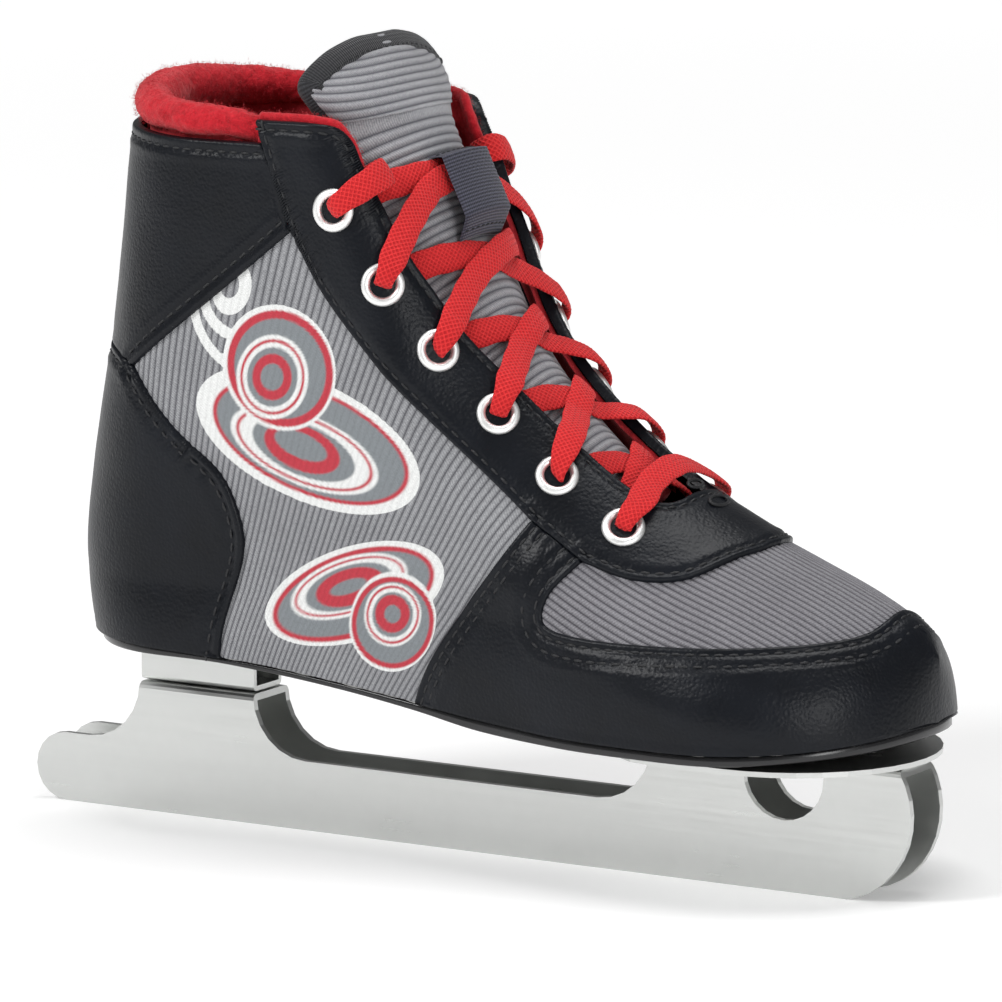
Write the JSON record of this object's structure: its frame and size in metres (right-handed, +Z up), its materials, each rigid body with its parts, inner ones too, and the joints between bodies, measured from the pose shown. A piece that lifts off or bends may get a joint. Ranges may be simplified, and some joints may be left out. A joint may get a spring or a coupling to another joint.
{
  "type": "double-runner ice skate",
  "caption": "Child's ice skate for the right foot: laced ankle boot of leather and ribbed knit, riveted to a folded aluminium runner with two parallel blades.",
  "frame": {"origin": "on the ice, in the middle between the two blades, half way along the skate", "axes": "+X towards the toe, along the skate; +Y towards the foot's inner side; +Z up, square to the ice"},
  "size_m": [0.2357, 0.0797, 0.1872],
  "materials": {
    "satin_aluminium": "satin, drawn along its length",
    "zinc_plated_steel": "zinc plated",
    "black_sole": "moulded, glossy edge",
    "fibre_board": "pressed fibre board",
    "black_leather": "coated, fine pebble grain",
    "grey_ribbed_knit": "ribbed knit",
    "red_fleece": "brushed pile",
    "eyelet_metal": "nickel plated",
    "red_lace": "flat woven",
    "lace_tip_plastic": "clear red film",
    "navy_webbing": "woven tape"
  },
  "bodies": {
    "skate": {"double_runner": "satin_aluminium", "heel_spacer": "satin_aluminium", "front_plate": "satin_aluminium", "heel_rivet_1": "zinc_plated_steel", "heel_rivet_2": "zinc_plated_steel", "front_rivet_1": "zinc_plated_steel", "front_rivet_2": "zinc_plated_steel", "outsole": "black_sole", "footbed": "black_sole", "insole_board": "fibre_board", "heel_counter": "fibre_board", "toe_puff": "fibre_board", "heel_cover": "black_leather", "ankle_panel": "black_leather", "toe_cap": "black_leather", "eyestay": "black_leather", "quarter_outer": "grey_ribbed_knit", "quarter_inner": "grey_ribbed_knit", "vamp": "grey_ribbed_knit", "tongue": "grey_ribbed_knit", "lining": "red_fleece", "collar_roll": "red_fleece", "eyelet_outer_1": "eyelet_metal", "eyelet_outer_2": "eyelet_metal", "eyelet_outer_3": "eyelet_metal", "eyelet_outer_4": "eyelet_metal", "eyelet_outer_5": "eyelet_metal", "eyelet_outer_6": "eyelet_metal", "eyelet_inner_1": "eyelet_metal", "eyelet_inner_2": "eyelet_metal", "eyelet_inner_3": "eyelet_metal", "eyelet_inner_4": "eyelet_metal", "eyelet_inner_5": "eyelet_metal", "eyelet_inner_6": "eyelet_metal", "lace": "red_lace", "lace_tip_outer": "lace_tip_plastic", "lace_tip_inner": "lace_tip_plastic", "tongue_loop": "navy_webbing"},
    "tongue_top": {"tongue_top": "grey_ribbed_knit"}
  },
  "joints": [
    {"name": "tongue_bend", "type": "hinge", "parent": "skate", "child": "tongue_top", "pos_m": [-0.00845, 0, 0.16164], "axis": [0, 1, 0], "range_deg": [-3, 30], "stiffness_Nm_per_rad": 0.05}
  ]
}
